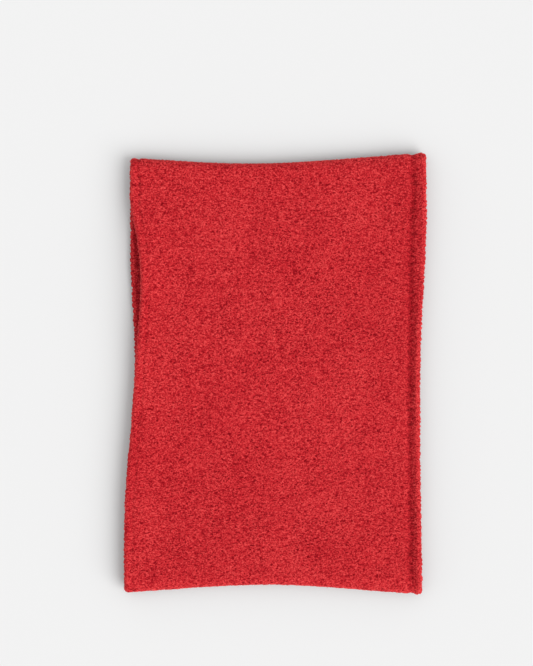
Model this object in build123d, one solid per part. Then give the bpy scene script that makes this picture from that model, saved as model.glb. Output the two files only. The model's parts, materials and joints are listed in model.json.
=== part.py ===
"""Neck gaiter of thick felted knit, laid flat, in millimetres.

The gaiter is a short tube of one cloth. Its axis runs along X and it lies flattened on the XY plane,
+Z up, with the origin under its centre. The back layer is on the ground, the front layer is on top, and
the two are joined by a fold at +Y (top) and a fold at -Y (bottom). Both open ends are turned inside and
stitched as hems, and the ends of the cloth meet in a flat seam on the back layer.

A cloth bends everywhere, so it is divided along its length into strips that turn on hinge lines parallel
to X: seven in each layer and one in each fold. Opening every hinge together takes the tube from flat to
nearly round.
"""
from build123d import *
import math
import os

# Cloth
ply = 2.4                  # thickness of the felted knit
flat_width = 268.0         # between the fold hinge lines, across the flattened tube
strips = 7                 # strips in each layer
waist_bulge = 0.9          # how far the folds stand outside their hinge lines at mid height
flare_right = 6.5          # extra bulge of the folds at the +X end, where the hem spreads the tube
flare_left = 4.6           # the same at the -X end

# Open ends, as distances from X = 0. Each end is hollowed in the middle and leans a little.
right_middle, right_hollow, right_lean = 93.2, 2.5, 1.3
left_middle, left_hollow, left_lean = 90.2, 3.9, 2.9

# Hems
slit = 0.3                 # between the cloth and its turned-in edge
layer_gap = 0.4            # between the front hem and the back hem
turn_right, turn_left = 11.0, 8.6        # how far the cloth is turned inside
stitch_right, stitch_left = 7.6, 5.4     # stitch line, from the folded end
groove_depth, groove_half = 0.8, 1.1     # the groove that the stitches pull into the outer face

# Motion
open_fold = 75.0           # how far each fold hinge turns, from a right angle
joint_gap = 0.1            # between neighbouring strips
spare_angle = 1.0          # extra relief beside each hinge, in degrees

# Threads and label
thread = 0.6               # sewing thread diameter
stitches_per_strip = 7
stitch_length = 3.4
seam_pitch = 3.0           # along the closing seam
seam_reach = 2.2           # how far each seam stitch goes to either side of the seam
seam_recess = 0.9          # depth of the trough that holds the seam stitches
seam_clear = 0.02          # between the seam stitches and the trough
stitch_corner = 0.45       # corner radius of a stitch, at the middle of its thread
stitch_sink = 0.1          # how far a hem stitch is drawn into the bottom of its groove
fold_stitch_length = 2.4
fold_stitch_angles = (-38, 0, 38)         # round the fold, from level
label_long, label_wide, label_ply = 34.0, 15.0, 0.3
label_from_seam = 1.2      # the ribbon's sewn side, from the closing seam
label_clear = 0.05         # between the ribbon and the cloth
label_gap = 0.15           # between the ribbon's two halves
label_stitches_from_seam = 2.4
label_stitch_count = 5

# Sections of the folds
fold_stations = 6          # lengths between the sections from end to end
fold_section_angles = (-90, -55, -25, 0, 25, 55, 90)

# Worked out from the above
strip_width = flat_width / strips
half_width = flat_width / 2
hem_height = 2 * ply + slit              # cloth and turned-in edge together
height = 2 * hem_height + layer_gap      # the whole flattened gaiter
back_level = ply / 2                     # hinge lines run at mid thickness
front_level = height - ply / 2
middle_level = height / 2
open_strip = (360 - 4 * (90 - open_fold)) / (4 * (strips - 1) / 2)   # turn of each hinge inside a layer
relief = math.tan(math.radians(open_strip / 2 + spare_angle))
long_reach = 300.0                       # longer than the gaiter, for cutting tools
spare = 0.1                              # cloth left outside each outer face and then cut off flat


def end_right(y):
    """X of the right open end at this Y."""
    share = y / half_width
    return right_middle + right_hollow * share**2 + right_lean * share


def end_left(y):
    """X of the left open end at this Y."""
    share = y / half_width
    return -(left_middle + left_hollow * share**2 - left_lean * share)


def prism_along_x(points):
    """A long bar whose YZ outline is points, for cutting."""
    outline = Polyline(*[(-long_reach / 2, y, z) for y, z in points], close=True)
    return extrude(make_face(outline), amount=long_reach, dir=(1, 0, 0))


def cloth_outline(y, is_front):
    """The cloth's section at this Y: one ply from end to end, turned inside at both ends."""
    lo, hi = end_left(y), end_right(y)
    bend = hem_height / 2
    inner_bend = slit / 2
    centre_lo, centre_hi = lo + bend, hi - bend
    groove_lo, groove_hi = lo + stitch_left, hi - stitch_right

    def at(x, up):
        return (x, y, height - up if is_front else up)

    def groove(x):
        return ThreePointArc(at(x - groove_half, -spare), at(x, groove_depth), at(x + groove_half, -spare))

    return Wire([
        ThreePointArc(at(centre_lo, hem_height), at(lo, bend), at(centre_lo, 0)),
        Line(at(centre_lo, 0), at(centre_lo, -spare)),
        Line(at(centre_lo, -spare), at(groove_lo - groove_half, -spare)),
        groove(groove_lo),
        Line(at(groove_lo + groove_half, -spare), at(groove_hi - groove_half, -spare)),
        groove(groove_hi),
        Line(at(groove_hi + groove_half, -spare), at(centre_hi, -spare)),
        Line(at(centre_hi, -spare), at(centre_hi, 0)),
        ThreePointArc(at(centre_hi, 0), at(hi, bend), at(centre_hi, hem_height)),
        Line(at(centre_hi, hem_height), at(hi - turn_right, hem_height)),
        Line(at(hi - turn_right, hem_height), at(hi - turn_right, ply + slit)),
        Line(at(hi - turn_right, ply + slit), at(centre_hi, ply + slit)),
        ThreePointArc(at(centre_hi, ply + slit), at(centre_hi + inner_bend, bend), at(centre_hi, ply)),
        Line(at(centre_hi, ply), at(centre_lo, ply)),
        ThreePointArc(at(centre_lo, ply), at(centre_lo - inner_bend, bend), at(centre_lo, ply + slit)),
        Line(at(centre_lo, ply + slit), at(lo + turn_left, ply + slit)),
        Line(at(lo + turn_left, ply + slit), at(lo + turn_left, hem_height)),
        Line(at(lo + turn_left, hem_height), at(centre_lo, hem_height)),
    ])


def cloth_strip(index, is_front):
    """Strip index of a layer, counted from -Y. Its inner side narrows, so that the strips can curl."""
    low = -half_width + index * strip_width + joint_gap / 2
    high = low + strip_width - joint_gap
    body = Solid.make_loft([cloth_outline(low, is_front), cloth_outline(high, is_front)], ruled=True)
    outer_face, level, up = (height, front_level, -1) if is_front else (0, back_level, 1)
    body -= Pos(0, 0, outer_face - up * spare) * Box(long_reach, long_reach, 2 * spare)
    depth = 2 * hem_height
    inside = level + up * depth
    if index > 0:
        body -= prism_along_x([(low, level), (low, inside), (low + depth * relief, inside)])
    if index < strips - 1:
        body -= prism_along_x([(high, level), (high, inside), (high - depth * relief, inside)])
    return body


def fold_outline(x, side, reach):
    """The fold's C-shaped section at this X, its outer face standing reach beyond the hinge line."""
    start = half_width + joint_gap / 2

    def arc(bulge, half_height):
        points = []
        for angle in fold_section_angles:
            turn = math.radians(angle)
            y = side * (start + bulge * math.cos(turn))
            points.append((x, y, middle_level + half_height * math.sin(turn)))
        return points

    outer = arc(reach, height / 2)
    inner = arc(reach - ply, height / 2 - ply - joint_gap)
    return Wire([
        Spline(*outer),
        Line(outer[-1], inner[-1]),
        Spline(*reversed(inner)),
        Line(inner[0], outer[0]),
    ])


def fold_reach(x, side):
    """How far the fold's outer face stands beyond its hinge line at this X."""
    if x > 0:
        return waist_bulge + flare_right * (x / end_right(side * half_width)) ** 2
    return waist_bulge + flare_left * (x / end_left(side * half_width)) ** 2


def fold_strip(side):
    """The fold at +Y (side 1) or -Y (side -1), hollowed at mid height and flared at the two hems."""
    lo, hi = end_left(side * half_width), end_right(side * half_width)
    stations = [lo + (hi - lo) * i / fold_stations for i in range(fold_stations + 1)]
    body = Solid.make_loft([fold_outline(x, side, fold_reach(x, side)) for x in stations])
    # Outside each hinge the cloth gives way as the fold opens, so a wedge is left out there.
    drop = math.tan(math.radians(90 - open_fold - spare_angle))
    far = flare_right + waist_bulge
    for level, down in ((back_level, -1), (front_level, 1)):
        body -= prism_along_x([
            (side * (half_width - ply), level),
            (side * half_width, level),
            (side * (half_width + far), level + down * far * drop),
            (side * (half_width + far), level + down * height),
            (side * (half_width - ply), level + down * height),
        ])
    return body


def stitch(depth, length=stitch_length):
    """One lockstitch as a closed loop of thread in the YZ plane, its outer bar at Z = 0."""
    loop = Plane.YZ * RectangleRounded(length, depth, stitch_corner)
    path = loop.wires()[0]
    bar = sweep(Plane(path @ 0, z_dir=path % 0) * Circle(thread / 2), path=path)
    return Pos(0, 0, depth / 2) * bar


def hem_stitches(index, is_front, at_right):
    """The stitches of one hem that hold one strip."""
    outer_bar = groove_depth - thread / 2 + stitch_sink
    loop = stitch(hem_height - thread / 2 - outer_bar)
    pitch = strip_width / stitches_per_strip
    placed = []
    for i in range(stitches_per_strip):
        y = -half_width + index * strip_width + (i + 0.5) * pitch
        x = end_right(y) - stitch_right if at_right else end_left(y) + stitch_left
        if is_front:
            placed.append(Pos(x, y, height - outer_bar) * Rot(180, 0, 0) * loop)
        else:
            placed.append(Pos(x, y, outer_bar) * loop)
    return Compound(children=placed)


def fold_stitches(side, at_right):
    """The stitches of one hem that go through the cloth of a fold."""
    y_line = side * half_width
    x = end_right(y_line) - stitch_right if at_right else end_left(y_line) + stitch_left
    reach = fold_reach(x, side)
    loop = stitch(ply - thread / 2, fold_stitch_length)
    placed = []
    for angle in fold_stitch_angles:
        turn = math.radians(angle)
        y = side * (half_width + (reach - thread / 4) * math.cos(turn))
        z = middle_level + (height / 2 - thread / 4) * math.sin(turn)
        inwards = math.degrees(math.atan2((height / 2) * math.cos(turn), -reach * math.sin(turn)))
        placed.append(Pos(x, y, z) * Rot(side * inwards, 0, 0) * loop)
    return Compound(children=placed)


def seam_trough():
    """The shallow trough along the closing seam, in the outer face of the back layer."""
    wide = seam_reach + thread
    return Pos(0, -strip_width / 2, 0) * Box(long_reach, 2 * wide, 2 * seam_recess)


def seam_stitches():
    """Slanting stitches across the butted ends of the cloth, lying in the trough."""
    y = -strip_width / 2
    lo, hi = end_left(y) + turn_left, end_right(y) - turn_right
    count = int((hi - lo) / seam_pitch)
    slant = math.degrees(math.atan2(seam_pitch / 2, 2 * seam_reach))
    bar = Rot(90, 0, 0) * Cylinder(thread / 2, 2 * seam_reach)
    level = seam_recess - thread / 2 - seam_clear
    placed = []
    for i in range(count):
        x = lo + (i + 0.5) * (hi - lo) / count
        placed.append(Pos(x, y, level) * Rot(0, 0, slant if i % 2 else -slant) * bar)
    return Compound(children=placed)


def care_label():
    """A blank ribbon folded over once, lying inside on the back layer beside the closing seam."""
    sewn = -strip_width / 2 + label_from_seam
    base = ply + label_clear
    tip = sewn + label_wide
    fold_radius = label_ply + label_gap / 2
    top = base + 2 * fold_radius
    outline = Wire([
        Line((0, sewn, base), (0, tip, base)),
        ThreePointArc((0, tip, base), (0, tip + fold_radius, base + fold_radius), (0, tip, top)),
        Line((0, tip, top), (0, sewn, top)),
        Line((0, sewn, top), (0, sewn, top - label_ply)),
        Line((0, sewn, top - label_ply), (0, tip, top - label_ply)),
        ThreePointArc((0, tip, top - label_ply), (0, tip + label_gap / 2, base + fold_radius),
                      (0, tip, base + label_ply)),
        Line((0, tip, base + label_ply), (0, sewn, base + label_ply)),
        Line((0, sewn, base + label_ply), (0, sewn, base)),
    ])
    return Pos(-label_long / 2, 0, 0) * extrude(Face(outline), amount=label_long, dir=(1, 0, 0))


def label_stitches():
    """The row of stitches that tacks the ribbon to the cloth."""
    y = -strip_width / 2 + label_stitches_from_seam
    top = ply + label_clear + 2 * label_ply + label_gap
    loop = Rot(0, 0, 90) * stitch(top - ply / 2)
    pitch = label_long / label_stitch_count
    middle = (label_stitch_count - 1) / 2
    placed = [Pos((i - middle) * pitch, y, ply / 2) * loop for i in range(label_stitch_count)]
    return Compound(children=placed)


def write(shape, node):
    export_step(shape, f"parts/{node}.step")


os.makedirs("parts", exist_ok=True)
trough = seam_trough()
for number in range(strips):
    for layer, is_front in (("back", False), ("front", True)):
        cloth = cloth_strip(number, is_front)
        if layer == "back" and number in (strips // 2 - 1, strips // 2):
            cloth -= trough
        write(cloth, f"{layer}_cloth_{number + 1}")
        write(hem_stitches(number, is_front, False), f"left_hem_thread_{layer}_{number + 1}")
        write(hem_stitches(number, is_front, True), f"right_hem_thread_{layer}_{number + 1}")
for fold, side in (("top", 1), ("bottom", -1)):
    write(fold_strip(side), f"{fold}_fold_cloth")
    write(fold_stitches(side, False), f"left_hem_thread_{fold}_fold")
    write(fold_stitches(side, True), f"right_hem_thread_{fold}_fold")
write(seam_stitches(), "closing_seam_thread")
write(care_label(), "care_label")
write(label_stitches(), "care_label_thread")
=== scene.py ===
"""Neck gaiter of thick red boucle knit, lying flat on a pale table.

The cloth is one closed surface: a profile (outer face, two turned-in hems, inner face) carried round the
flattened tube. It is displaced by the grooves of the hems and the loops of the yarn, and cut at the middle
line of each strip of the frame and at the closing seam. Each piece spans one hinge of the frame.
Lengths are in millimetres until a mesh is made.
"""
import json
import math

import bpy
import numpy as np
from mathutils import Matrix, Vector

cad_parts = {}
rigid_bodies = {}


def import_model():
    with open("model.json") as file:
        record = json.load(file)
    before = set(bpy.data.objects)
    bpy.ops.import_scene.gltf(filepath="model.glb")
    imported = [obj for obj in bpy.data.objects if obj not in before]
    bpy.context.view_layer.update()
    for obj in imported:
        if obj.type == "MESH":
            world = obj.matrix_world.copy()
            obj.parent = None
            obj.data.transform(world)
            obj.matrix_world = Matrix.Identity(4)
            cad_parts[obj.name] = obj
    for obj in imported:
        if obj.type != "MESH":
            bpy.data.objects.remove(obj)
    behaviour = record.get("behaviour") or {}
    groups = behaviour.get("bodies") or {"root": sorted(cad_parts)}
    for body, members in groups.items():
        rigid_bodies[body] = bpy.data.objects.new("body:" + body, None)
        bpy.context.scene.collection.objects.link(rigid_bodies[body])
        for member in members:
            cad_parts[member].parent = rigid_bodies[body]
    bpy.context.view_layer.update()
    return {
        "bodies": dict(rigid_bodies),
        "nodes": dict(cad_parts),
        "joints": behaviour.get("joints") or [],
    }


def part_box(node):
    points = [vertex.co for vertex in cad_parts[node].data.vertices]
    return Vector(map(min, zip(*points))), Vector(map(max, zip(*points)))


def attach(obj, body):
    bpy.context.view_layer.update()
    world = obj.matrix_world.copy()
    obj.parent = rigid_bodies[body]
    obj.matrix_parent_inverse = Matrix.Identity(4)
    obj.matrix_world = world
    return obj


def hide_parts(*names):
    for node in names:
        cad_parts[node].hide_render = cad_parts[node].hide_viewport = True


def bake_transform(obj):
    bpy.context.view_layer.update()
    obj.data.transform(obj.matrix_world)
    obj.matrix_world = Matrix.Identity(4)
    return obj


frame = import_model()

MM = 0.001
random = np.random.default_rng(20)


# ---------------- sizes, from the frame

def corner(node, high):
    return np.array(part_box(node)[1 if high else 0]) / MM


joints = {joint["name"]: joint for joint in frame["joints"]}
strips = sum(name.startswith("back_cloth") for name in frame["nodes"])
hinge_y, back_level = np.array(joints["back_to_top_fold"]["pos_m"][1:]) / MM
front_level = joints["front_to_top_fold"]["pos_m"][2] / MM
height = back_level + front_level            # the whole flattened gaiter
middle = height / 2
ply = 2 * back_level
hem = corner("back_cloth_4", True)[2]        # cloth and turned-in edge together
strip_width = 2 * hinge_y / strips
seam_y = -strip_width / 2                    # the closing seam, on the back layer

# ---------------- outline of the gaiter as it lies

# Open ends and folds as (place along the edge, place of the edge), to the half millimetre.
right_end = [(-140, 95), (-40, 93.5), (20, 94), (95, 97.5), (140, 97.5)]
left_end = [(-140, -97), (-85, -96.5), (0, -90.5), (80, -93.5), (140, -93)]
left_recess = [(-60, 0), (0, 0.5), (75, 6.5), (112, 0)]
top_fold = [(-97, 139), (-25, 135), (97, 142)]
bottom_fold = [(-97, 140.5), (-5, 135.5), (97, 142)]
right_stitches = [(-140, 87), (-20, 86), (140, 88)]
round_in = 4.4                               # the folds start to round off this far inside the hinge lines
turn_right, turn_left = 11.0, 8.6            # how far the cloth is turned inside
stitch_left = 5.6                            # the left stitch line, from the folded end
stitch_pitch = 5.47
edge_lift = 0.42                             # how far the drawn-back edge stands up, for each mm of recess
lift_reach = 14.0                            # and how far from the edge that lift fades

# ---------------- grooves, dips and swells

right_groove, right_dimple = 1.45, 1.15      # depth of the right hem's groove, and what a stitch adds
right_groove_sides = 1.5, 2.7                # how far its two sides reach
left_groove, left_dimple = 0.12, 0.75        # the same for the left hem
left_groove_sides = 1.4, 0.8
corner_pull, corner_from, corner_over = 1.3, 90, 25      # the left stitches pull harder near the top corner
hem_swell, swell_from_end, swell_reach = 0.75, 2.6, 1.7  # the swelling between the right groove and its end
fold_fade = 0.6                              # how much of the right groove is lost on the folds
wander_length, wander = 22, 0.3              # the stitch lines aren't quite straight
trough_depth, trough_reach = 0.9, 2.2        # along the closing seam
deepest_sag = 3.0                            # a stop under the front layer
solver_margin = 1.0                          # the least that Blender keeps on the stop, and on the cloth
settling_frames = 60

# ---------------- yarn

grid = 0.42                                  # spacing of the cloth's mesh
yarn_radius = 0.37
loop_pitch = 1.22                            # between the middles of neighbouring yarn loops
nap_height = 0.85                            # from the tips of the loops to the pits
skin = 0.45                                  # how far the tips of the loops stand outside the smooth shape
edge_loop = 3.0                              # between the large loops that turn over at the open ends
edge_depth = 1.25                            # how deep the dips between them are
edge_reach = 2.7                             # and how far they reach from the end
felting, felting_cells = 0.09, 14            # slow changes in the nap's height
cushion, cushion_cells = 0.07, 50            # and in the cloth's own level
hair_rings, hair_radius = 5, 0.045
hair_density = 0.0042                        # loose fibres to each point of the mesh, away from the ends

# ---------------- painted shade and painted highlights in the wool's colour, as shares of 1

groove_shade, deepest_groove = 0.24, 1.6      # painted shade for each mm of groove, down to this depth
# painted shade in the dips between the end loops, on the inside rows and on the turned-in hems
dip_shade, inside_shade, hem_shade = 0.10, 0.10, 0.30
right_highlight, right_highlight_reach = 0.36, 2.4       # painted highlight, lighter where fuzz stands out against the table
# painted highlight along the front layer's left edge
left_highlight, left_highlight_reach = 0.25, 1.2
# painted highlight along the outermost line of each fold
fold_highlight = 0.30

# ---------------- bends, threads and label

thread_radius = 0.3
tube_sides = 8
stitch_length = 3.4
outer_sink = 0.12                            # the stitches lie this far into the groove's floor
inner_sink = 0.20                            # and this far into the turned-in edge
seam_reach, seam_pitch = 1.7, 3.0
seam_level, seam_dive = 0.45, 1.3            # height of the seam's stitches, and how far their ends go in
ribbon_ply, ribbon_gap = 0.3, 0.25
ribbon_rise = 0.55                           # between the cloth's smooth inner face and the ribbon
ribbon_wave, ribbon_curl, ribbon_skew = 0.22, 0.35, 0.12
label_stitch_count, label_stitch_rise = 5, 0.12


def smooth(values, sigma, wrap=False, axis=0):
    """Gaussian blur along one axis; sigma is in samples."""
    reach = max(1, int(3 * sigma))
    weights = np.exp(-0.5 * (np.arange(-reach, reach + 1) / sigma) ** 2)
    weights /= weights.sum()
    padding = [(0, 0)] * values.ndim
    padding[axis] = (reach, reach)
    padded = np.pad(values, padding, mode="wrap" if wrap else "edge")
    return np.apply_along_axis(lambda line: np.convolve(line, weights, "valid"), axis, padded)


def curve(points, at):
    """A smooth line through a few points, level beyond the first and the last."""
    places, values = np.array(points, float).T
    slopes = np.gradient(values, places)
    k = np.clip(np.searchsorted(places, at) - 1, 0, len(places) - 2)
    span = places[k + 1] - places[k]
    t = np.clip((at - places[k]) / span, 0, 1)
    ease = t * t * (3 - 2 * t)
    return (values[k] * (1 - ease) + values[k + 1] * ease
            + span * t * (1 - t) * (slopes[k] * (1 - t) - slopes[k + 1] * t))


def wavy(places, wavelength, amplitude, seed):
    """Seeded slow noise along a line."""
    source = np.random.default_rng(seed)
    knots = np.arange(-200, 201, wavelength / 2)
    return curve(list(zip(knots, amplitude * source.standard_normal(len(knots)))), places)


# ---------------- columns, once round the tube

def spans(edges, step):
    """Places from the first edge to the last that hit every edge. The last is left out."""
    parts = []
    for start, stop in zip(edges, edges[1:]):
        count = max(1, round(abs(stop - start) / step))
        parts.append(np.linspace(start, stop, count, endpoint=False))
    return np.concatenate(parts)


flat_end = hinge_y - round_in
strip_middles = [(k - (strips - 1) / 2) * strip_width for k in range(strips)]
fold_step = 180 / 34
fold_turns = spans([-90, 0, 90], fold_step)
back_right = spans([seam_y] + [y for y in strip_middles if y > seam_y] + [flat_end], grid)
front = spans([flat_end] + strip_middles[::-1] + [-flat_end], grid)
back_left = spans([-flat_end] + [y for y in strip_middles if y < seam_y] + [seam_y], grid)


column_y = np.concatenate([back_right, np.full(len(fold_turns), flat_end), front,
                           np.full(len(fold_turns), -flat_end), back_left])
column_turn = np.radians(np.concatenate([
    np.full(len(back_right), -90.0), fold_turns, np.full(len(front), 90.0),
    -fold_turns, np.full(len(back_left), -90.0)]))
column_side = np.sign(column_y)
columns = len(column_y)
front_share = (np.sin(column_turn) + 1) / 2  # 0 on the back layer, 1 on the front layer
round_share = np.cos(column_turn)            # 1 at the outermost line of a fold

# Place along the edges for the outline curves. In a fold it runs on towards the outermost line.
edge_y = column_y + column_side * round_share * 9
column_low = curve(left_end, edge_y) + front_share * curve(left_recess, edge_y)
column_high = curve(right_end, edge_y)
column_stitches = curve(right_stitches, edge_y)

# ---------------- rows, once round the profile

bend = hem / 2
outer_rows = 442
turn_rows = 20
hem_rows = 18
step_rows = 7
inner_rows = 190


def profile():
    """Rows of (share of the way from low to high end, offset in X, depth under the outer face, part)."""
    share, offset, depth, part = [], [], [], []

    def add(name, shares, offsets, depths):
        count = len(np.broadcast_arrays(shares, offsets, depths)[0])
        share.append(np.broadcast_to(shares, count))
        offset.append(np.broadcast_to(offsets, count))
        depth.append(np.broadcast_to(depths, count))
        part.extend([name] * count)

    along = np.linspace(0, 1, outer_rows, endpoint=False)
    add("outer", along, bend - 2 * bend * along, 0.0)
    angle = np.linspace(-math.pi / 2, math.pi / 2, turn_rows, endpoint=False)
    add("right_turn", 1.0, bend * np.cos(angle) - bend, bend + bend * np.sin(angle))
    add("right_hem", 1.0, np.linspace(-bend, -turn_right, hem_rows, endpoint=False), hem)
    down = np.linspace(0, 1, step_rows, endpoint=False)
    add("right_step", 1.0, -turn_right - 0.5 * np.sin(down * math.pi / 2) ** 2, hem - (hem - ply) * down)
    along = np.linspace(0, 1, inner_rows, endpoint=False)
    add("inner", 1 - along, -(turn_right + 0.5) * (1 - along) + (turn_left + 0.5) * along, ply)
    add("left_step", 0.0, turn_left + 0.5 * np.cos(down * math.pi / 2) ** 2, ply + (hem - ply) * down)
    add("left_hem", 0.0, np.linspace(turn_left, bend, hem_rows, endpoint=False), hem)
    add("left_turn", 0.0, bend - bend * np.cos(angle), bend - bend * np.sin(angle))
    return np.concatenate(share), np.concatenate(offset), np.concatenate(depth), np.array(part)


row_share, row_offset, row_depth, row_part = profile()
rows = len(row_share)


# ---------------- the cloth's smooth shape

def settled_front():
    """How far the front layer hangs down between its hems and folds, on a grid, by a cloth simulation."""
    count_x, count_y = 49, 69
    half_x = (column_high.mean() - column_low.mean() - turn_right - turn_left) / 2 * MM
    half_y = flat_end * MM
    xs, ys = np.linspace(-half_x, half_x, count_x), np.linspace(-half_y, half_y, count_y)
    points = [(x, y, 0.0) for y in ys for x in xs]
    faces = [(r * count_x + c, r * count_x + c + 1, (r + 1) * count_x + c + 1, (r + 1) * count_x + c)
             for r in range(count_y - 1) for c in range(count_x - 1)]
    mesh = bpy.data.meshes.new("settling")
    mesh.from_pydata(points, [], faces)
    sheet = bpy.data.objects.new("settling", mesh)
    bpy.context.scene.collection.objects.link(sheet)
    held = sheet.vertex_groups.new(name="held")
    held.add([r * count_x + c for r in range(count_y) for c in range(count_x)
              if r in (0, count_y - 1) or c in (0, count_x - 1)], 1.0, "REPLACE")
    below = bpy.data.meshes.new("below")
    level = -deepest_sag * MM
    below.from_pydata([(-1, -1, level), (1, -1, level), (1, 1, level), (-1, 1, level)], [], [(0, 1, 2, 3)])
    ground = bpy.data.objects.new("below", below)
    bpy.context.scene.collection.objects.link(ground)
    ground.modifiers.new("collision", "COLLISION")
    ground.collision.thickness_outer = solver_margin * MM
    ground.collision.cloth_friction = 30
    cloth_modifier = sheet.modifiers.new("cloth", "CLOTH")
    settings = cloth_modifier.settings
    settings.quality = 10
    settings.mass = 0.002
    settings.tension_stiffness = settings.compression_stiffness = 6
    settings.shear_stiffness = 3
    settings.bending_stiffness = 0.6
    settings.air_damping = 4
    settings.vertex_group_mass = "held"
    settings.shrink_min = -0.012
    cloth_modifier.collision_settings.distance_min = solver_margin * MM
    scene = bpy.context.scene
    for number in range(1, settling_frames + 1):
        scene.frame_set(number)
    settled = sheet.evaluated_get(bpy.context.evaluated_depsgraph_get()).to_mesh()
    places = np.empty(len(settled.vertices) * 3)
    settled.vertices.foreach_get("co", places)
    drop = -places.reshape(count_y, count_x, 3)[..., 2] / MM
    scene.frame_set(1)
    bpy.data.objects.remove(sheet)
    bpy.data.objects.remove(ground)
    return np.clip(smooth(smooth(drop, 1.0, False, 0), 1.0, False, 1), 0, deepest_sag)


front_drop = settled_front()


def sag_map(x, y):
    """How far the front layer hangs down at these places."""
    low, high = column_low[:, None] + turn_left, column_high[:, None] - turn_right
    a = np.clip((y + flat_end) / (2 * flat_end), 0, 1) * (front_drop.shape[0] - 1)
    b = np.clip((x - low) / (high - low), 0, 1) * (front_drop.shape[1] - 1)
    a, b = np.broadcast_arrays(a, b)
    a0 = np.minimum(a.astype(int), front_drop.shape[0] - 2)
    b0 = np.minimum(b.astype(int), front_drop.shape[1] - 2)
    fa, fb = a - a0, b - b0
    return ((front_drop[a0, b0] * (1 - fa) + front_drop[a0 + 1, b0] * fa) * (1 - fb)
            + (front_drop[a0, b0 + 1] * (1 - fa) + front_drop[a0 + 1, b0 + 1] * fa) * fb)


def base_surface():
    """The cloth without its yarn, as a grid of points: columns by rows by XYZ."""
    low, high = column_low[:, None], column_high[:, None]
    x = low + (high - low) * row_share + row_offset
    reach_top = curve(top_fold, x) - flat_end
    reach_bottom = curve(bottom_fold, x) - flat_end
    reach = np.where(column_side[:, None] > 0, reach_top, reach_bottom)
    turn = column_turn[:, None]
    y = column_y[:, None] + column_side[:, None] * (reach - row_depth) * np.cos(turn)
    z = middle + (middle - row_depth) * np.sin(turn)
    z = z - sag_map(x, y) * front_share[:, None] ** 2
    # The front layer's left edge stands up where it has drawn back from the edge below.
    lift = np.clip(curve(left_recess, column_y), 0, None)[:, None] * edge_lift
    z = z + lift * front_share[:, None] ** 2 * np.exp(-((x - low) / lift_reach) ** 2)
    return np.stack([x, y, z], axis=-1)


def grid_normals(points):
    along = np.roll(points, -1, 0) - np.roll(points, 1, 0)
    across = np.roll(points, -1, 1) - np.roll(points, 1, 1)
    normal = np.cross(along, across)
    return normal / np.maximum(np.linalg.norm(normal, axis=-1, keepdims=True), 1e-9)


def running_lengths(points, axis):
    """Mean distance walked along one axis of the grid, starting at 0."""
    steps = np.linalg.norm(np.roll(points, -1, axis) - points, axis=-1).mean(axis=1 - axis)
    return np.concatenate([[0], np.cumsum(steps)[:-1]]), steps.sum()


# ---------------- yarn loops as a height map

def yarn_map(round_length, profile_length):
    """Curled loops of yarn laid over a wrapped sheet. Returns heights between 0 (pit) and 1 (tip)."""
    cells_round = int(round(round_length / grid))
    cells_profile = int(round(profile_length / grid))
    count_round = int(round_length / loop_pitch)
    count_profile = int(profile_length / loop_pitch)
    place_a, place_b = np.meshgrid(np.arange(count_round), np.arange(count_profile), indexing="ij")
    stagger = 0.5 * (place_a % 2)
    jitter = random.uniform(-0.42, 0.42, (2,) + place_a.shape)
    centre_a = ((place_a + 0.5 + jitter[0]) / count_round * cells_round).ravel()
    centre_b = ((place_b + stagger + jitter[1]) / count_profile * cells_profile).ravel()
    number = len(centre_a)
    radius = random.uniform(0.55, 1.25, number)
    half_sweep = np.radians(random.uniform(42, 92, number))
    # Most strokes lie across the tube's axis or at a slant to it, and over a quarter point anywhere.
    facing = np.where(random.random(number) < 0.72,
                      np.radians(random.choice([0, 180], number) + random.normal(12, 34, number)),
                      random.uniform(0, 2 * math.pi, number))
    level = random.uniform(0.0, 0.40, number)
    lean = random.uniform(-0.22, 0.22, number)
    window = np.arange(-5, 6)
    step_a, step_b = (w.ravel() for w in np.meshgrid(window, window, indexing="ij"))
    heights = np.zeros((cells_round, cells_profile), np.float32)
    for start in range(0, number, 6000):
        part = slice(start, start + 6000)
        cell_a = np.floor(centre_a[part])[:, None] + step_a
        cell_b = np.floor(centre_b[part])[:, None] + step_b
        across = (cell_a - centre_a[part][:, None]) * grid
        along = (cell_b - centre_b[part][:, None]) * grid / 1.25
        turned_c, turned_s = np.cos(facing[part])[:, None], np.sin(facing[part])[:, None]
        p = across * turned_c + along * turned_s
        q = along * turned_c - across * turned_s
        # The arc is centred behind the stroke, so that the stroke itself is centred on its place.
        p = p + radius[part][:, None] * 0.8
        angle = np.arctan2(q, p)
        sweep = half_sweep[part][:, None]
        end_p, end_q = radius[part][:, None] * np.cos(sweep), radius[part][:, None] * np.sin(sweep)
        ends = np.minimum(np.hypot(p - end_p, q - end_q), np.hypot(p - end_p, q + end_q))
        distance = np.where(np.abs(angle) <= sweep, np.abs(np.hypot(p, q) - radius[part][:, None]), ends)
        dome = np.sqrt(np.clip(1 - (distance / yarn_radius) ** 2, 0, None))
        rise = np.where(dome > 0, level[part][:, None] + lean[part][:, None] * np.clip(angle, -1.5, 1.5)
                        + 0.60 * dome, 0)
        np.maximum.at(heights, ((cell_a % cells_round).astype(int).ravel(),
                                (cell_b % cells_profile).astype(int).ravel()),
                      rise.astype(np.float32).ravel())
    heights = 0.7 * heights + 0.3 * smooth(smooth(heights, 0.55, True, 0), 0.55, True, 1)
    return np.clip(heights, 0, 1.15) / 1.15


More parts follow.
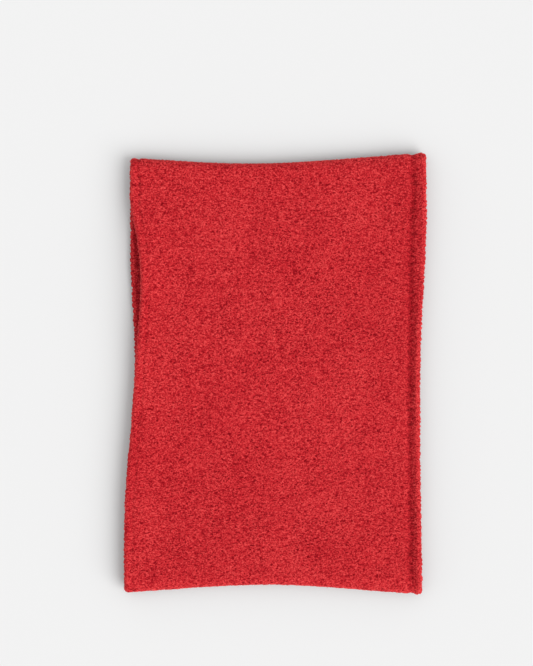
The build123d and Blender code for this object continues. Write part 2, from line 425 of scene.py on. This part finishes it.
def sample(field, at_a, at_b, length_a, length_b):
    """Bilinear sample of a wrapped map at every pair of places."""
    size_a, size_b = field.shape
    a = at_a / length_a * size_a
    b = at_b / length_b * size_b
    a0, b0 = np.floor(a).astype(int), np.floor(b).astype(int)
    fa, fb = (a - a0)[:, None], (b - b0)[None, :]
    a0, b0, a1, b1 = a0 % size_a, b0 % size_b, (a0 + 1) % size_a, (b0 + 1) % size_b
    return ((field[np.ix_(a0, b0)] * (1 - fa) + field[np.ix_(a1, b0)] * fa) * (1 - fb)
            + (field[np.ix_(a0, b1)] * (1 - fa) + field[np.ix_(a1, b1)] * fa) * fb)


def slow_noise(shape, cells, seed):
    """Seeded noise over the whole grid, smooth over this many cells, with unit spread."""
    source = np.random.default_rng(seed)
    coarse = source.standard_normal((max(4, shape[0] // cells), max(4, shape[1] // cells)))
    a = np.arange(shape[0]) / shape[0] * coarse.shape[0]
    b = np.arange(shape[1]) / shape[1] * coarse.shape[1]
    for _ in range(2):
        coarse = smooth(smooth(coarse, 0.7, True, 0), 0.7, True, 1)
    field = sample(coarse, a, b, coarse.shape[0], coarse.shape[1])
    return field / field.std()


# ---------------- displacement of the cloth

def dimples(places, length, pitch, seed):
    """1 at each stitch and 0 between them, at slightly uneven distances and strengths."""
    source = np.random.default_rng(seed)
    gaps = pitch * source.uniform(0.8, 1.2, int(length / pitch))
    middles = np.cumsum(gaps) * length / gaps.sum() - gaps[0] / 2
    nearest = np.abs(places[:, None] - middles[None, :]).argmin(axis=1)
    strength = source.uniform(0.35, 1.0, len(middles))[nearest]
    return strength * np.cos(math.pi * np.clip((places - middles[nearest]) / gaps[nearest], -0.5, 0.5)) ** 2


def ridge_line(offset, near, far):
    """1 on a line, falling off over near on its low side and over far on its high side."""
    return np.exp(-(offset / np.where(offset < 0, near, far)) ** 2)


def hem_grooves(points, round_places):
    """Depth of the stitched grooves in the outer face, with a dimple at each stitch."""
    x = points[..., 0]
    outer = (row_part == "outer")[None, :]
    stray = wavy(round_places - round_length / 2, wander_length, wander, seed=3)[:, None]
    right_line = column_stitches[:, None] + stray
    left_line = column_low[:, None] + stitch_left + stray
    right_pulls = dimples(round_places, round_length, stitch_pitch, seed=21)[:, None]
    left_pulls = dimples(round_places, round_length, stitch_pitch, seed=22)[:, None]
    harder = 1 + corner_pull * np.clip((column_y - corner_from) / corner_over, 0, 1)[:, None]
    right_depth = right_groove + right_dimple * right_pulls
    left_depth = (left_groove + left_dimple * left_pulls) * harder
    on_folds = 1 - fold_fade * round_share[:, None]
    right = right_depth * ridge_line(x - right_line, *right_groove_sides) * on_folds
    left = left_depth * ridge_line(x - left_line, *left_groove_sides)
    swell = hem_swell * np.exp(-((x - column_high[:, None] + swell_from_end) / swell_reach) ** 2)
    return np.where(outer, right, 0.0) + np.where(outer, left - swell, 0.0)


def edge_bumps(places, length, seed):
    """0 on top of each large loop along an open end and 1 in the dips between them."""
    source = np.random.default_rng(seed)
    gaps = edge_loop * source.uniform(0.72, 1.35, int(length / edge_loop))
    middles = np.cumsum(gaps) * length / gaps.sum() - gaps[0] / 2
    nearest = np.abs(places[:, None] - middles[None, :]).argmin(axis=1)
    away = np.clip(np.abs(places - middles[nearest]) / (gaps[nearest] / 2), 0, 1)
    tall = source.uniform(0.55, 1.0, len(middles))[nearest]
    return 1 - tall * np.sqrt(1 - (0.95 * away) ** 2)


def scalloped_ends():
    """Depth of the dips between the large loops where the cloth turns over at its open ends."""
    total = np.zeros((columns, rows))
    for name, seed, least in (("right_turn", 11, 0.9), ("left_turn", 12, 0.75)):
        apex = profile_places[np.flatnonzero(row_part == name)].mean()
        away = np.abs(profile_places - apex)
        away = np.minimum(away, profile_length - away)
        share = 1 - (1 - least) * front_share
        dips = edge_depth * share * edge_bumps(round_places, round_length, seed)
        total += dips[:, None] * np.exp(-(away / edge_reach) ** 2)
    return total


def seam_trough(points):
    """Depth of the trough along the closing seam, in the outer face of the back layer."""
    on_back = (row_part == "outer")[None, :] & (front_share < 0.5)[:, None]
    away = (points[..., 1] - seam_y) / trough_reach
    return np.where(on_back, trough_depth * np.exp(-away ** 4), 0.0)


base = base_surface()
normals = grid_normals(base)
round_places, round_length = running_lengths(base, 0)
profile_places, profile_length = running_lengths(base, 1)
loops = yarn_map(round_length, profile_length)
nap = sample(loops, round_places, profile_places, round_length, profile_length)

inside = np.isin(row_part, ["inner", "left_step", "right_step"])
hems = np.isin(row_part, ["left_hem", "right_hem"])
turns = np.isin(row_part, ["left_turn", "right_turn"])

# The nap is matted unevenly, flatter along the left end and inside, and fuller where the cloth turns over.
felted = slow_noise((columns, rows), felting_cells, seed=5)
from_left = np.clip(base[..., 0] - column_low[:, None], 0, None)
left_band = np.exp(-(from_left / 8.0) ** 4) * front_share[:, None]
nap_depth = nap_height * np.clip(1 + felting * felted, 0.5, 1.5) * (1 - 0.5 * left_band)
nap_depth = nap_depth * np.where(inside, 0.55, 1.0) * np.where(turns, 1.15, 1.0)

grooves = hem_grooves(base, round_places) + seam_trough(base)
ends = scalloped_ends()
level_change = cushion * slow_noise((columns, rows), cushion_cells, seed=6)
surface_drop = (1 - nap) * nap_depth - level_change - skin + grooves + ends
cloth = base + normals * -surface_drop[..., None]


def painted_light_and_shade():
    """How light the wool is: painted shade where it lies deep, painted highlight where its fuzz stands out
    against the table.
    """
    # The pits between the loops, the grooves, the end dips, the inside and the hems are painted darker as
    # shade; the edges and folds get a painted highlight.
    tone = nap - groove_shade * np.clip(grooves, 0, deepest_groove) - dip_shade * ends
    tone = tone - np.where(inside, inside_shade, 0.0) - np.where(hems, hem_shade, 0.0)
    at_right = np.exp(-((base[..., 0] - column_high[:, None]) / right_highlight_reach) ** 2)
    at_left = np.exp(-((base[..., 0] - column_low[:, None]) / left_highlight_reach) ** 2) * front_share[:, None]
    at_fold = round_share[:, None] ** 6
    highlights = right_highlight * at_right + left_highlight * at_left + fold_highlight * at_fold
    return tone + np.where(inside | hems, 0, highlights)


# tone holds the painted shade and painted highlights for the wool's colour.
tone = painted_light_and_shade()


# ---------------- materials

def node_material(name):
    """A new material with its nodes, links and main shader."""
    material = bpy.data.materials.new(name)
    material.use_nodes = True
    nodes, links = material.node_tree.nodes, material.node_tree.links
    shader = nodes["Principled BSDF"]
    return material, nodes, links, shader


def colour_ramp(nodes, stops):
    ramp = nodes.new("ShaderNodeValToRGB")
    elements = ramp.color_ramp.elements
    while len(elements) < len(stops):
        elements.new(0.5)
    for element, (place, colour) in zip(elements, stops):
        element.position = place
        element.color = (*colour, 1)
    return ramp


def wool_material():
    """Felted boucle: painted dark crimson in the pits as shade, brighter on the loops, with painted
    highlights at its edges; mottled and finely hairy.
    """
    material, nodes, links, shader = node_material("boucle_wool")
    painted_shading = nodes.new("ShaderNodeAttribute")
    painted_shading.attribute_name = "tone"
    place = nodes.new("ShaderNodeAttribute")
    place.attribute_name = "rest"

    def noise(scale, detail):
        node = nodes.new("ShaderNodeTexNoise")
        node.inputs["Scale"].default_value = scale
        node.inputs["Detail"].default_value = detail
        links.new(place.outputs["Vector"], node.inputs["Vector"])
        return node

    def maths(operation, first, second):
        node = nodes.new("ShaderNodeMath")
        node.operation = operation
        for socket, value in zip(node.inputs, (first, second)):
            if isinstance(value, (int, float)):
                socket.default_value = value
            else:
                links.new(value, socket)
        return node.outputs[0]

    def strands(scale, distortion, stretch):
        """Thin bright lines like matted fibres, drawn out along an axis where its scale is below 1."""
        mapping = nodes.new("ShaderNodeMapping")
        mapping.inputs["Scale"].default_value = stretch
        links.new(place.outputs["Vector"], mapping.inputs["Vector"])
        node = nodes.new("ShaderNodeTexNoise")
        node.inputs["Scale"].default_value = scale
        node.inputs["Detail"].default_value = 1.5
        node.inputs["Distortion"].default_value = distortion
        links.new(mapping.outputs["Vector"], node.inputs["Vector"])
        away = maths("ABSOLUTE", maths("SUBTRACT", node.outputs["Fac"], 0.5), 0)
        return maths("SUBTRACT", 0.85, maths("MULTIPLY", away, 5.0))

    fibres = noise(2600, 3)
    tufts = noise(1150, 1)
    clumps = noise(420, 2)
    mottle = noise(30, 1)
    ridge = strands(760, 0.9, (0.52, 1.0, 1.0))
    hairs = strands(1500, 2.2, (0.7, 1.0, 1.0))
    # The tone attribute brings painted shade and painted highlights into the colour.
    level = maths("MULTIPLY", painted_shading.outputs["Fac"], 0.60)
    weights = (
        (fibres.outputs["Fac"], 0.55),
        (tufts.outputs["Fac"], 1.60),
        (ridge, 0.66),
        (hairs, 0.30),
        (clumps.outputs["Fac"], 0.05),
        (mottle.outputs["Fac"], 0.26),
    )
    for value, weight in weights:
        level = maths("ADD", level, maths("MULTIPLY", maths("SUBTRACT", value, 0.5), weight))
    level = maths("ADD", level, 0.155)
    ramp = colour_ramp(nodes, [
        (0.00, (0.300, 0.0020, 0.0080)),
        (0.35, (0.520, 0.0120, 0.0205)),
        (0.65, (0.690, 0.0300, 0.0370)),
        (1.00, (0.900, 0.0780, 0.0780)),
    ])
    links.new(level, ramp.inputs["Fac"])
    # The wool throws only a little red light on the table and into its own pits.
    ray = nodes.new("ShaderNodeLightPath")
    bounced = nodes.new("ShaderNodeMix")
    bounced.data_type = "RGBA"
    links.new(ray.outputs["Is Diffuse Ray"], bounced.inputs["Factor"])
    links.new(ramp.outputs["Color"], bounced.inputs["A"])
    bounced.inputs["B"].default_value = (0.16, 0.045, 0.045, 1)
    links.new(bounced.outputs["Result"], shader.inputs["Base Color"])
    rough = nodes.new("ShaderNodeMapRange")
    rough.inputs["To Min"].default_value = 0.98
    rough.inputs["To Max"].default_value = 0.80
    links.new(clumps.outputs["Fac"], rough.inputs["Value"])
    links.new(rough.outputs["Result"], shader.inputs["Roughness"])
    shader.inputs["Specular IOR Level"].default_value = 0.10
    shader.inputs["Sheen Weight"].default_value = 0.2
    shader.inputs["Sheen Roughness"].default_value = 0.45
    shader.inputs["Sheen Tint"].default_value = (1.0, 0.22, 0.20, 1)
    bump = nodes.new("ShaderNodeBump")
    bump.inputs["Strength"].default_value = 0.55
    bump.inputs["Distance"].default_value = 0.00025
    links.new(maths("ADD", maths("ADD", ridge, hairs), tufts.outputs["Fac"]), bump.inputs["Height"])
    links.new(bump.outputs["Normal"], shader.inputs["Normal"])
    return material


def fibre_material():
    """Loose fibres, lighter than the wool that they stand out of."""
    material, nodes, links, shader = node_material("wool_fibre")
    place = nodes.new("ShaderNodeTexCoord")
    tone = nodes.new("ShaderNodeTexNoise")
    tone.inputs["Scale"].default_value = 260
    links.new(place.outputs["Object"], tone.inputs["Vector"])
    ramp = colour_ramp(nodes, [(0.3, (0.62, 0.022, 0.028)), (0.7, (0.86, 0.070, 0.060))])
    links.new(tone.outputs["Fac"], ramp.inputs["Fac"])
    links.new(ramp.outputs["Color"], shader.inputs["Base Color"])
    shader.inputs["Roughness"].default_value = 0.7
    shader.inputs["Specular IOR Level"].default_value = 0.15
    return material


def thread_material():
    """Twisted sewing thread."""
    material, nodes, links, shader = node_material("sewing_thread")
    place = nodes.new("ShaderNodeTexCoord")
    twist = nodes.new("ShaderNodeTexWave")
    twist.inputs["Scale"].default_value = 900
    twist.inputs["Distortion"].default_value = 1.5
    links.new(place.outputs["Object"], twist.inputs["Vector"])
    ramp = colour_ramp(nodes, [(0.2, (0.34, 0.006, 0.012)), (0.8, (0.60, 0.022, 0.030))])
    links.new(twist.outputs["Fac"], ramp.inputs["Fac"])
    links.new(ramp.outputs["Color"], shader.inputs["Base Color"])
    shader.inputs["Roughness"].default_value = 0.8
    shader.inputs["Specular IOR Level"].default_value = 0.12
    bump = nodes.new("ShaderNodeBump")
    bump.inputs["Strength"].default_value = 0.5
    bump.inputs["Distance"].default_value = 0.0001
    links.new(twist.outputs["Fac"], bump.inputs["Height"])
    links.new(bump.outputs["Normal"], shader.inputs["Normal"])
    return material


def label_material():
    """Blank satin ribbon."""
    material, nodes, links, shader = node_material("satin_ribbon")
    place = nodes.new("ShaderNodeTexCoord")
    weave = nodes.new("ShaderNodeTexWave")
    weave.bands_direction = "Y"
    weave.inputs["Scale"].default_value = 700
    weave.inputs["Distortion"].default_value = 0.6
    links.new(place.outputs["Object"], weave.inputs["Vector"])
    ramp = colour_ramp(nodes, [(0.0, (0.60, 0.58, 0.54)), (1.0, (0.80, 0.78, 0.73))])
    links.new(weave.outputs["Fac"], ramp.inputs["Fac"])
    links.new(ramp.outputs["Color"], shader.inputs["Base Color"])
    shader.inputs["Roughness"].default_value = 0.42
    bump = nodes.new("ShaderNodeBump")
    bump.inputs["Strength"].default_value = 0.3
    bump.inputs["Distance"].default_value = 0.0001
    links.new(weave.outputs["Fac"], bump.inputs["Height"])
    links.new(bump.outputs["Normal"], shader.inputs["Normal"])
    return material


wool, fibre, sewing_thread, ribbon = wool_material(), fibre_material(), thread_material(), label_material()


# ---------------- pieces of cloth

def make_object(name, points, faces, material, smooth_faces=None):
    """A mesh object from points in millimetres."""
    mesh = bpy.data.meshes.new(name)
    mesh.from_pydata([tuple(p) for p in np.asarray(points) * MM], [], faces)
    mesh.materials.append(material)
    mesh.polygons.foreach_set("use_smooth", smooth_faces or [True] * len(faces))
    mesh.update()
    piece = bpy.data.objects.new(name, mesh)
    bpy.context.scene.collection.objects.link(piece)
    return piece


def cloth_piece(name, first, last):
    """The closed piece of cloth between two columns."""
    picked = np.arange(first, last + 1)
    wrapped = picked % columns
    points = cloth[wrapped].reshape(-1, 3)
    count = len(picked)
    a, r = np.meshgrid(np.arange(count - 1), np.arange(rows), indexing="ij")
    after = (r + 1) % rows
    corners = [a * rows + r, a * rows + after, (a + 1) * rows + after, (a + 1) * rows + r]
    quads = np.stack(corners, -1).reshape(-1, 4)
    caps = [list(range(rows))[::-1], [(count - 1) * rows + k for k in range(rows)]]
    faces = quads.tolist() + caps
    piece = make_object(name, points, faces, wool, [True] * len(quads) + [False, False])
    mesh = piece.data
    # The tone attribute holds painted shade and painted highlights for the wool's colour.
    tones = mesh.attributes.new("tone", "FLOAT", "POINT")
    tones.data.foreach_set("value", tone[wrapped].ravel().astype(np.float32))
    rest = mesh.attributes.new("rest", "FLOAT_VECTOR", "POINT")
    rest.data.foreach_set("vector", (base[wrapped] * MM).ravel().astype(np.float32))
    # The cut faces meet the cloth's faces at a sharp edge, so that they don't shade it.
    pairs = np.empty(len(mesh.edges) * 2, np.int32)
    mesh.edges.foreach_get("vertices", pairs)
    pairs = pairs.reshape(-1, 2)
    column_of = pairs // rows
    sharp = (column_of[:, 0] == column_of[:, 1]) & ((column_of[:, 0] == 0) | (column_of[:, 0] == count - 1))
    flag = mesh.attributes.new("sharp_edge", "BOOLEAN", "EDGE")
    flag.data.foreach_set("value", sharp)
    return piece


def hair_path(root_point, normal, along, length, lean, curl):
    """A loose curved fibre that stands out of the wool."""
    t = np.linspace(0, 1, hair_rings)[:, None]
    side = np.cross(normal, along)
    return (root_point - normal * 0.25 + normal * length * (t - 0.35 * t ** 2)
            + along * length * lean * t ** 1.5 + side * length * curl * np.sin(2.6 * t))


def fuzz(name, first, last, source):
    """Loose fibres of the wool between two columns, denser along the ends and the folds."""
    picked = np.arange(first, last) % columns
    chance = np.where(turns, 5.0, 1.0) * np.where(inside | hems, 0.15, 1.0)
    weight = chance[None, :] * (1 + 5 * round_share[picked, None] ** 2) * hair_density
    here, there = np.nonzero(source.random(weight.shape) < weight)
    points, faces = [], []
    angle = np.arange(3) * 2 * math.pi / 3
    for c, r in zip(picked[here], there):
        normal = normals[c, r]
        turned = source.uniform(0, 2 * math.pi)
        any_way = np.cross(normal, (0.31, 0.52, 0.79))
        any_way /= np.linalg.norm(any_way)
        along = any_way * math.cos(turned) + np.cross(normal, any_way) * math.sin(turned)
        length = source.uniform(0.6, 1.0) * source.choice([1.0, 1.0, 1.0, 1.9])
        lean, curl = source.uniform(0.5, 1.6), source.uniform(-0.6, 0.6)
        path = hair_path(cloth[c, r], normal, along, length, lean, curl)
        across = np.cross(normal, along)
        width = hair_radius * np.linspace(1, 0.35, hair_rings)[:, None, None]
        spokes = np.cos(angle)[None, :, None] * across + np.sin(angle)[None, :, None] * normal
        rings = path[:, None] + width * spokes
        start = len(points) * hair_rings * 3
        points.append(rings.reshape(-1, 3))
        for ring in range(hair_rings - 1):
            low = start + ring * 3
            faces += [(low + k, low + (k + 1) % 3, low + 3 + (k + 1) % 3, low + 3 + k) for k in range(3)]
        top = start + (hair_rings - 1) * 3
        faces += [(start + 2, start + 1, start), (top, top + 1, top + 2)]
    return make_object(name, np.concatenate(points), faces, fibre)


def column_at(turn_degrees, y):
    """The column on this strip middle, seam or fold line."""
    wrong = np.abs(np.degrees(column_turn) - turn_degrees) * 10 + np.abs(column_y - y)
    return int(np.argmin(wrong))


hair_source = np.random.default_rng(31)
back_middles = [column_at(-90, y) for y in strip_middles]
front_middles = [column_at(90, y) for y in strip_middles]
top_line, bottom_line = column_at(0, flat_end), column_at(0, -flat_end)
root = next(b for b in frame["bodies"] if all(j["child"] != b for j in frame["joints"]))

# Round the tube from the closing seam: the column of each cut and the body of the frame there.
stops = [(back_middles[k], f"back_strip_{k + 1}") for k in range(strips // 2, strips)]
stops += [(top_line, "top_fold")]
stops += [(front_middles[k], f"front_strip_{k + 1}") for k in reversed(range(strips))]
stops += [(bottom_line, "bottom_fold")]
stops += [(back_middles[k], f"back_strip_{k + 1}") for k in range(strips // 2)]

for (start, a), (stop, b) in zip(stops, stops[1:]):
    between = cloth_piece(f"cloth_{a}_to_{b}", start, stop)
    loose = fuzz(f"fuzz_{a}_to_{b}", start, stop, hair_source)
    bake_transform(between)
    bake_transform(loose)
seam_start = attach(cloth_piece("cloth_seam_start", 0, stops[0][0]), root)
seam_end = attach(cloth_piece("cloth_seam_end", stops[-1][0], columns), stops[-1][1])
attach(fuzz("fuzz_seam_start", 0, stops[0][0], hair_source), root)
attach(fuzz("fuzz_seam_end", stops[-1][0], columns, hair_source), stops[-1][1])
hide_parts(*[n for n in frame["nodes"] if "cloth" in n])


# ---------------- threads

def tube(path, across, closed):
    """Points and faces of a thread along a path. Its rings are set out from the direction across it."""
    path = np.asarray(path, float)
    count = len(path)
    if closed:
        tangent = np.roll(path, -1, 0) - np.roll(path, 1, 0)
    else:
        tangent = np.gradient(path, axis=0)
    tangent /= np.linalg.norm(tangent, axis=1, keepdims=True)
    first = across - (tangent @ across)[:, None] * tangent
    first /= np.linalg.norm(first, axis=1, keepdims=True)
    second = np.cross(tangent, first)
    angle = np.arange(tube_sides) * 2 * math.pi / tube_sides
    points = path[:, None] + thread_radius * (np.cos(angle)[None, :, None] * first[:, None]
                                              + np.sin(angle)[None, :, None] * second[:, None])
    faces = []
    for ring in range(count if closed else count - 1):
        here, there = ring * tube_sides, (ring + 1) % count * tube_sides
        for side in range(tube_sides):
            after = (side + 1) % tube_sides
            faces.append((here + side, here + after, there + after, there + side))
    if not closed:
        faces.append(tuple(range(tube_sides))[::-1])
        faces.append(tuple((count - 1) * tube_sides + side for side in range(tube_sides)))
    return points.reshape(-1, 3), faces


def rounded(path):
    """A closed path with its corners cut once."""
    after = np.roll(path, -1, 0)
    return np.stack([0.75 * path + 0.25 * after, 0.25 * path + 0.75 * after], axis=1).reshape(-1, 3)


def thread_object(name, tubes):
    """One mesh object of many threads."""
    points, faces, start = [], [], 0
    for tube_points, tube_faces in tubes:
        points.append(tube_points)
        faces += [tuple(index + start for index in face) for face in tube_faces]
        start += len(tube_points)
    return make_object(name, np.concatenate(points), faces, sewing_thread)


def at_places(field, column_places, row_places):
    """Values of a grid field at pairs of fractional columns and rows."""
    c, r = np.floor(column_places).astype(int), np.floor(row_places).astype(int)
    fc, fr = (column_places - c)[:, None], (row_places - r)[:, None]
    low = field[c % columns, r % rows] * (1 - fc) + field[(c + 1) % columns, r % rows] * fc
    high = field[c % columns, (r + 1) % rows] * (1 - fc) + field[(c + 1) % columns, (r + 1) % rows] * fc
    return low * (1 - fr) + high * fr


def hem_rows_at(column_places, at_right):
    """Rows of a stitch line on the outer face and on the turned-in edge."""
    low = np.interp(column_places, np.arange(columns + 1), np.append(column_low, column_low[0]))
    high = np.interp(column_places, np.arange(columns + 1), np.append(column_high, column_high[0]))
    if at_right:
        x = np.interp(column_places, np.arange(columns + 1), np.append(column_stitches, column_stitches[0]))
        share = np.clip((high - x - bend) / (turn_right - bend), 0, 0.9)
        first = np.flatnonzero(row_part == "right_hem")[0]
    else:
        x = low + stitch_left
        share = np.full(len(column_places), (turn_left - stitch_left) / (turn_left - bend))
        first = np.flatnonzero(row_part == "left_hem")[0]
    outer_row = (x - low - bend) / (high - low - 2 * bend) * outer_rows
    return outer_row, first + share * hem_rows


def hem_stitches(first, last):
    """Loops of thread through both hems between two columns."""
    tubes = []
    walked = np.concatenate([[0], np.cumsum(np.linalg.norm(
        np.diff(base[np.arange(first, last + 1) % columns, outer_rows // 2], axis=0), axis=1))])
    count = max(1, int(walked[-1] / stitch_pitch))
    groove_field = grooves[..., None]
    for at_right in (True, False):
        for number in range(count):
            middle_place = (number + 0.5) * walked[-1] / count
            along = middle_place + np.linspace(-0.5, 0.5, 7) * stitch_length
            column_places = first + np.interp(along, walked, np.arange(len(walked)))
            outer_row, inner_row = hem_rows_at(column_places, at_right)
            outer_point = at_places(base, column_places, outer_row)
            outer_normal = at_places(normals, column_places, outer_row)
            inner_point = at_places(base, column_places, inner_row)
            inner_normal = at_places(normals, column_places, inner_row)
            depth = at_places(groove_field, column_places, outer_row) + outer_sink
            over = outer_point - outer_normal * depth
            under = inner_point - inner_normal * inner_sink
            path = rounded(np.concatenate([over, under[::-1]]))
            tubes.append(tube(path, np.array((1.0, 0, 0)), True))
    return tubes


def seam_stitches():
    """Slanting stitches across the butted ends of the cloth, in the trough of the back layer."""
    low, high = column_low[0] + turn_left, column_high[0] - turn_right
    count = int((high - low) / seam_pitch)
    share = np.linspace(-1, 1, 9)
    tubes = []
    for number in range(count):
        slant = (0.5 if number % 2 else -0.5) * seam_pitch / 2
        x = low + (number + 0.5) * (high - low) / count + slant * share
        path = np.stack([x, seam_y + seam_reach * share, seam_level + seam_dive * share ** 6], axis=1)
        tubes.append(tube(path, np.array((1.0, 0, 0)), False))
    return tubes


for (start, a), (stop, b) in zip(stops, stops[1:]):
    thread = thread_object(f"hem_thread_{a}_to_{b}", hem_stitches(start, stop))
    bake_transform(thread)
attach(thread_object("hem_thread_seam_start", hem_stitches(0, stops[0][0])), root)
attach(thread_object("hem_thread_seam_end", hem_stitches(stops[-1][0], columns)), stops[-1][1])
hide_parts(*[n for n in frame["nodes"] if "hem_thread" in n])
seam_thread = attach(thread_object("seam_thread", seam_stitches()), root)
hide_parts("closing_seam_thread")

# ---------------- label

def ribbon_label():
    """A blank ribbon folded over once and lying loosely on the inner face of the back layer."""
    low, high = corner("care_label", False), corner("care_label", True)
    near, far = low[1], high[1] - 0.5
    fold = (ribbon_ply + ribbon_gap) / 2
    level = ply + ribbon_rise
    path = [(y, level) for y in np.linspace(near, far, 24)]
    for t in np.radians([-60, -30, 0, 30, 60]):
        path.append((far + fold * math.cos(t), level + fold + fold * math.sin(t)))
    path += [(y, level + 2 * fold) for y in np.linspace(far, near + 0.6, 24)]
    path = np.array(path)
    way = np.gradient(path, axis=0)
    way /= np.linalg.norm(way, axis=1, keepdims=True)
    side = np.stack([-way[:, 1], way[:, 0]], axis=1) * ribbon_ply / 2
    outline = np.concatenate([path + side, (path - side)[::-1]])
    count, places = len(outline), np.linspace(low[0], high[0], 60)
    y = np.broadcast_to(outline[:, 0], (len(places), count))
    loose = (y - near) / (far - near)
    wave = ribbon_wave * np.sin(places / 4.1)[:, None] * loose + ribbon_curl * loose ** 2
    z = outline[:, 1] + wave
    x = places[:, None] + ribbon_skew * np.sin(y / 2.3)
    points = np.stack([x, y, z], axis=-1).reshape(-1, 3)
    faces = []
    for row in range(len(places) - 1):
        for k in range(count):
            after, here, there = (k + 1) % count, row * count, (row + 1) * count
            faces.append((here + k, here + after, there + after, there + k))
    last = (len(places) - 1) * count
    for k in range(len(path) - 1):
        faces.append((k, count - 1 - k, count - 2 - k, k + 1))
        faces.append((last + k, last + k + 1, last + count - 2 - k, last + count - 1 - k))
    return make_object("ribbon_label", points, faces, ribbon)


def label_stitches():
    """The stitches that tack the ribbon to the cloth."""
    low, high = corner("care_label_thread", False), corner("care_label_thread", True)
    y, reach = (low[1] + high[1]) / 2, stitch_length / 2
    count = label_stitch_count
    top = ply + ribbon_rise + ribbon_ply + ribbon_gap + ribbon_ply / 2 + label_stitch_rise
    tubes = []
    for number in range(count):
        x = (number - (count - 1) / 2) * (high[0] - low[0] - stitch_length) / (count - 1)
        path = [(x - reach, y, top), (x, y, top + 0.05), (x + reach, y, top),
                (x + reach, y, ply / 2), (x, y, ply / 2), (x - reach, y, ply / 2)]
        tubes.append(tube(rounded(rounded(np.array(path))), np.array((0, 1.0, 0)), True))
    return tubes


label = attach(ribbon_label(), root)
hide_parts("care_label")
label_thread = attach(thread_object("label_thread", label_stitches()), root)
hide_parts("care_label_thread")


# ---------------- floor, light and camera

def floor():
    mesh = bpy.data.meshes.new("table")
    side = 3.0                               # metres
    level = float(cloth[..., 2].min()) * MM
    points = [(-side, -side, level), (side, -side, level), (side, side, level), (-side, side, level)]
    mesh.from_pydata(points, [], [(0, 1, 2, 3)])
    material, _, _, shader = node_material("pale_table")
    shader.inputs["Base Color"].default_value = (0.83, 0.83, 0.83, 1)
    shader.inputs["Roughness"].default_value = 0.9
    shader.inputs["Specular IOR Level"].default_value = 0.1
    mesh.materials.append(material)
    table = bpy.data.objects.new("table", mesh)
    bpy.context.scene.collection.objects.link(table)


def lights():
    world = bpy.data.worlds.new("studio")
    world.use_nodes = True
    nodes, links = world.node_tree.nodes, world.node_tree.links
    glow = nodes["Background"]
    glow.inputs["Color"].default_value = (1, 1, 1, 1)
    glow.inputs["Strength"].default_value = 0.69
    # Beyond the table the picture goes on in the table's own tone.
    seen = nodes.new("ShaderNodeBackground")
    seen.inputs["Color"].default_value = (0.885, 0.885, 0.885, 1)
    ray = nodes.new("ShaderNodeLightPath")
    mix = nodes.new("ShaderNodeMixShader")
    links.new(ray.outputs["Is Camera Ray"], mix.inputs["Fac"])
    links.new(glow.outputs["Background"], mix.inputs[1])
    links.new(seen.outputs["Background"], mix.inputs[2])
    links.new(mix.outputs["Shader"], nodes["World Output"].inputs["Surface"])
    bpy.context.scene.world = world
    lamp = bpy.data.lights.new("key", "SUN")
    lamp.energy = 1.9
    lamp.angle = math.radians(50)
    key = bpy.data.objects.new("key", lamp)
    key.rotation_mode = "QUATERNION"
    key.rotation_quaternion = Vector((-0.62, 0.46, -0.64)).to_track_quat("-Z", "Y")
    bpy.context.scene.collection.objects.link(key)


def camera():
    """Straight down, the long side of the picture along Y."""
    lens, sensor = 100.0, 36.0
    seen_height = 428.2
    centre_x, centre_y = -5.4, 26.2
    lens_data = bpy.data.cameras.new("camera")
    lens_data.lens = lens
    lens_data.sensor_width = sensor
    distance = seen_height * lens / sensor + middle
    view = bpy.data.objects.new("camera", lens_data)
    view.location = (centre_x * MM, centre_y * MM, distance * MM)
    bpy.context.scene.collection.objects.link(view)
    bpy.context.scene.camera = view


floor()
lights()
camera()
bpy.context.scene.view_settings.view_transform = "Standard"
